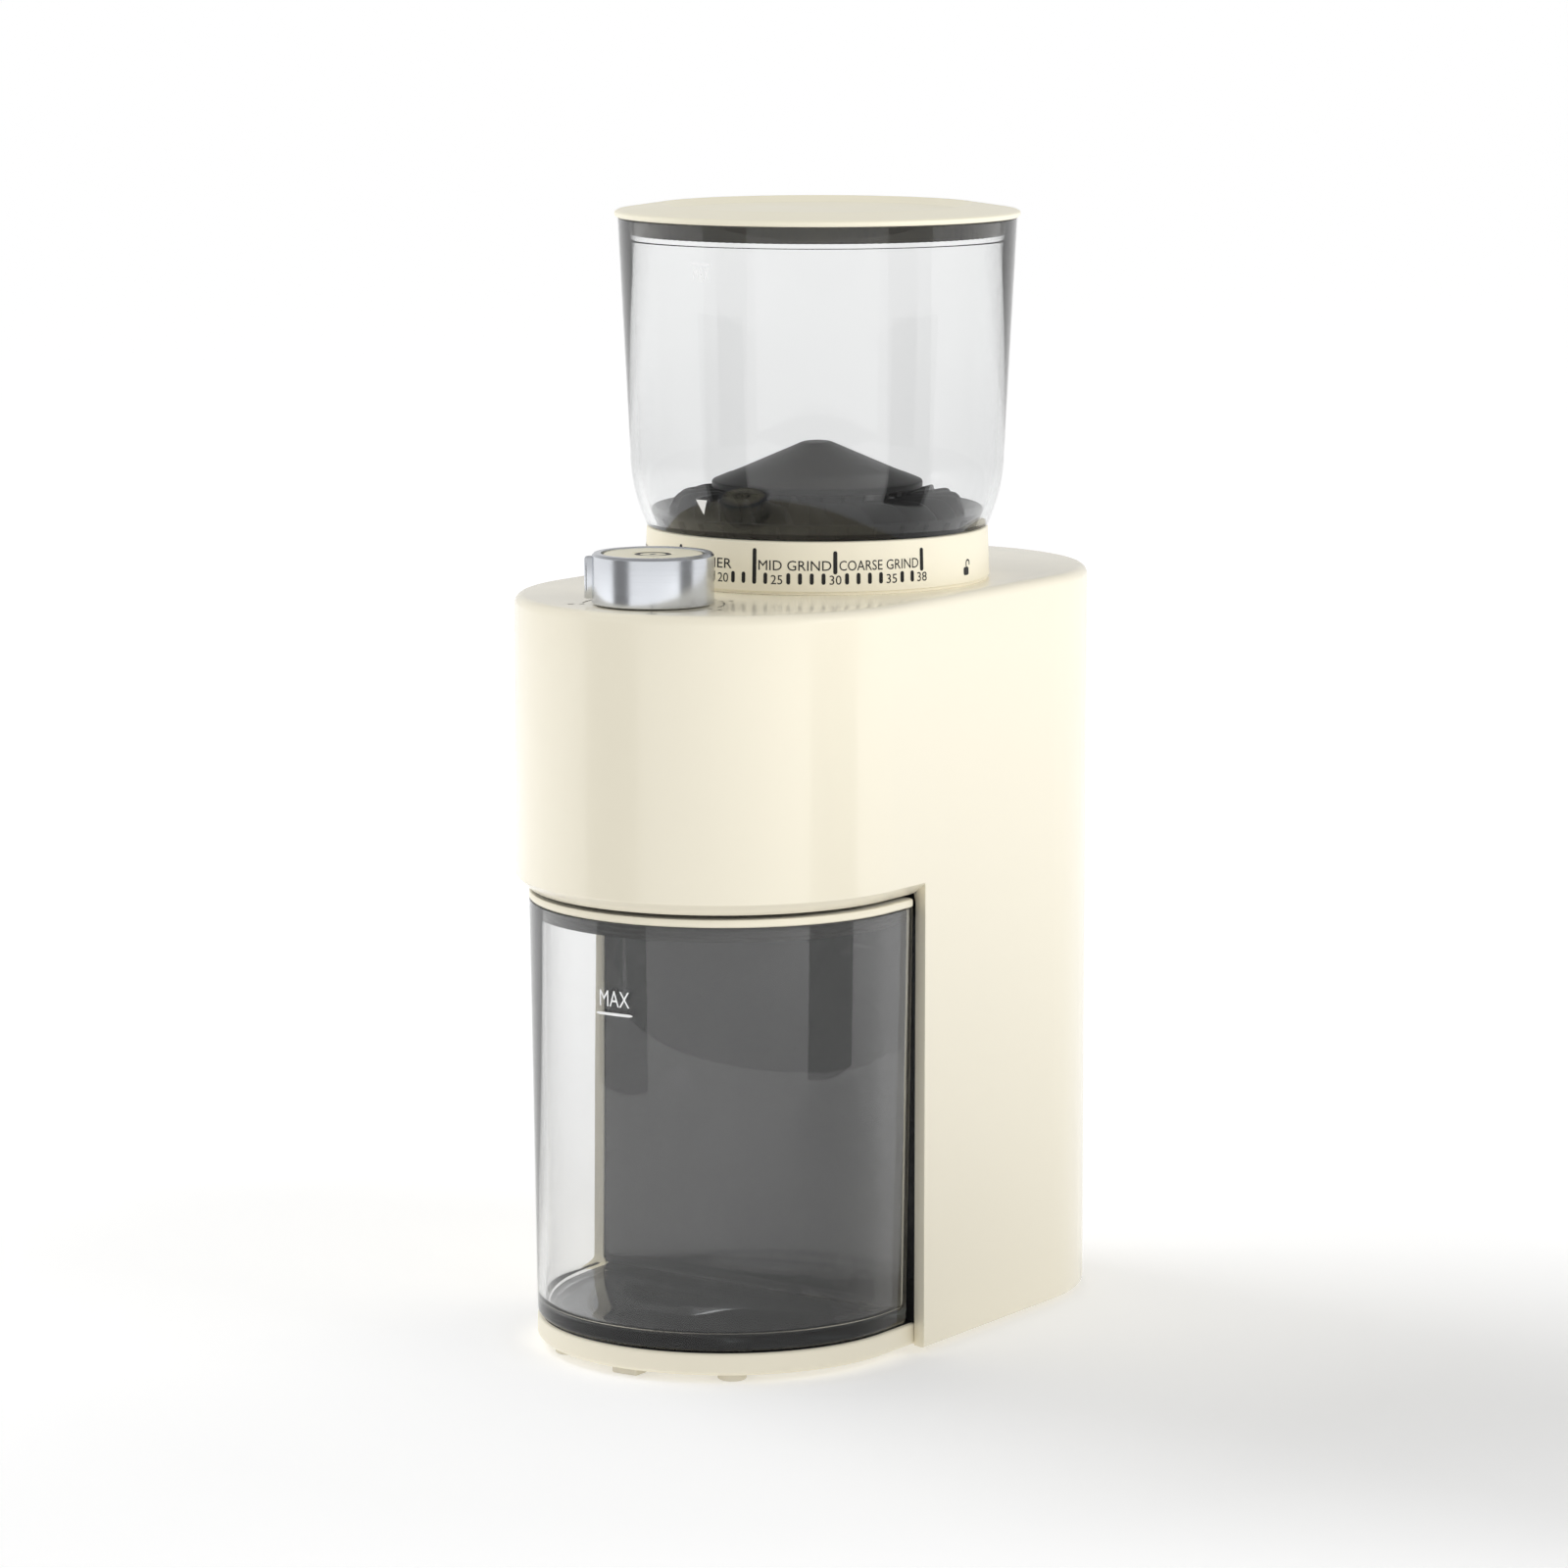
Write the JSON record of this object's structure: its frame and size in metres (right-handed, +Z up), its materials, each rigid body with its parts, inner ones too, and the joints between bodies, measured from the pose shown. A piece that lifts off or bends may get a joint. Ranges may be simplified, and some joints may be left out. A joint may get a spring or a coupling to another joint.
{
  "type": "burr coffee grinder",
  "caption": "Upright coffee grinder with a round-ended body, clear conical bean hopper on a printed grind dial, selector knob with push button, and a clear half-round grounds container.",
  "frame": {"origin": "on the surface the feet stand on, at the centre of the body's plan", "axes": "+Z up, -Y towards the front with the container and the knob, +X to the right seen from the front"},
  "size_m": [0.126, 0.22, 0.3479],
  "materials": {
    "cream_shell": "smooth high gloss",
    "cream_base": "satin",
    "cream_dial": "satin, printed scale",
    "cream_lid": "smooth",
    "cream_container_lid": "smooth",
    "button_cream": "satin",
    "dark_liner": "fine texture",
    "black_funnel": "satin",
    "black_guard": "satin",
    "black_plastic": "matte",
    "clear_hopper": "clear, polished",
    "clear_container": "clear, polished",
    "knob_metal": "satin",
    "foot_rubber": "matte",
    "gland_rubber": "matte",
    "lid_gasket": "ribbed",
    "container_gasket": "matte",
    "throat_seal": "matte",
    "burr_steel": "ground",
    "shaft_steel": "turned",
    "bush_bronze": "sintered",
    "chamber_plastic": "matte",
    "gearbox_plastic": "matte",
    "gear_nylon": "moulded",
    "pinion_steel": "ground",
    "motor_steel": "plated",
    "magnet": "sintered",
    "armature": "varnished",
    "circuit_board": "solder mask",
    "component_blue": "sleeved",
    "component_yellow": "taped",
    "screw_steel": "zinc plated"
  },
  "bodies": {
    "housing": {"main_housing": "cream_shell", "base_plate": "cream_base", "foot_front_right": "foot_rubber", "foot_front_left": "foot_rubber", "foot_front_centre": "foot_rubber", "foot_rear_right": "foot_rubber", "foot_rear_left": "foot_rubber", "bay_liner": "dark_liner", "cord_gland": "gland_rubber", "dial_collar": "cream_dial", "rotary_selector": "black_plastic", "panel_board": "circuit_board", "start_switch": "black_plastic", "burr_chamber": "chamber_plastic", "upper_shaft_bush": "bush_bronze", "lower_shaft_bush": "bush_bronze", "grounds_chute": "chamber_plastic", "gearbox_tray": "gearbox_plastic", "gearbox_cover": "gearbox_plastic", "intermediate_axle": "shaft_steel", "motor_can": "motor_steel", "motor_end_cap": "black_plastic", "motor_magnets": "magnet", "power_board": "circuit_board", "board_capacitor": "component_blue", "board_transformer": "component_yellow", "board_relay": "black_plastic", "board_screws": "screw_steel", "container_switch": "black_plastic", "hopper_switch": "black_plastic", "drive_screws": "screw_steel", "base_screws": "screw_steel", "gearbox_screws": "screw_steel", "motor_screws": "screw_steel"},
    "container": {"grounds_container": "clear_container", "container_lid": "cream_container_lid", "container_gasket": "container_gasket"},
    "adjuster": {"adjusting_ring": "black_plastic"},
    "upper_burr": {"burr_carrier": "black_plastic", "ring_burr": "burr_steel"},
    "bean_hopper": {"hopper": "clear_hopper", "hopper_base": "black_funnel", "bean_guard": "black_guard", "hopper_seal": "throat_seal"},
    "hopper_lid": {"lid": "cream_lid", "lid_gasket": "lid_gasket"},
    "knob": {"selector_knob": "knob_metal", "selector_shaft": "shaft_steel", "button_spring": "shaft_steel"},
    "button": {"start_button": "button_cream", "switch_plunger": "black_plastic"},
    "motor_rotor": {"motor_shaft": "shaft_steel", "motor_armature": "armature", "motor_pinion": "pinion_steel"},
    "intermediate": {"intermediate_gear": "gear_nylon"},
    "burr_drive": {"burr_shaft": "shaft_steel", "output_gear": "gear_nylon", "sweeper": "gear_nylon", "cone_burr": "burr_steel", "burr_nut": "shaft_steel"}
  },
  "joints": [
    {"name": "container_slide", "type": "slide", "parent": "housing", "child": "container", "axis": [0, -1, 0], "range_m": [0, 0.13]},
    {"name": "hopper_turn", "type": "hinge", "parent": "housing", "child": "adjuster", "pos_m": [0, 0.0059, 0.24], "axis": [0, 0, 1], "range_deg": [-66, 98]},
    {"name": "carrier_climb", "type": "slide", "parent": "adjuster", "child": "upper_burr", "axis": [0, 0, 1], "range_m": [-0.001, 0.0015]},
    {"name": "hopper_lift", "type": "slide", "parent": "adjuster", "child": "bean_hopper", "axis": [0, 0, 1], "range_m": [0, 0.12]},
    {"name": "lid_lift", "type": "slide", "parent": "bean_hopper", "child": "hopper_lid", "axis": [0, 0, 1], "range_m": [0, 0.08]},
    {"name": "knob_turn", "type": "hinge", "parent": "housing", "child": "knob", "pos_m": [0, -0.0837, 0.24], "axis": [0, 0, 1], "range_deg": [-270, 0]},
    {"name": "button_press", "type": "slide", "parent": "knob", "child": "button", "axis": [0, 0, -1], "range_m": [0, 0.0015], "stiffness_N_per_m": 400, "springref_m": -0.003, "deforming": ["button_spring"]},
    {"name": "motor_spin", "type": "hinge", "parent": "housing", "child": "motor_rotor", "pos_m": [0, 0.0619, 0.12], "axis": [0, 0, 1], "continuous": true},
    {"name": "intermediate_spin", "type": "hinge", "parent": "housing", "child": "intermediate", "pos_m": [0, 0.0379, 0.17], "axis": [0, 0, 1], "continuous": true},
    {"name": "burr_spin", "type": "hinge", "parent": "housing", "child": "burr_drive", "pos_m": [0, 0.0059, 0.19], "axis": [0, 0, 1], "continuous": true}
  ],
  "couplings": [
    {"joint": "carrier_climb", "follows": "hopper_turn", "m_per_rad": 0.0008},
    {"joint": "intermediate_spin", "follows": "motor_spin", "ratio": -0.25},
    {"joint": "burr_spin", "follows": "motor_spin", "ratio": 0.0625}
  ]
}
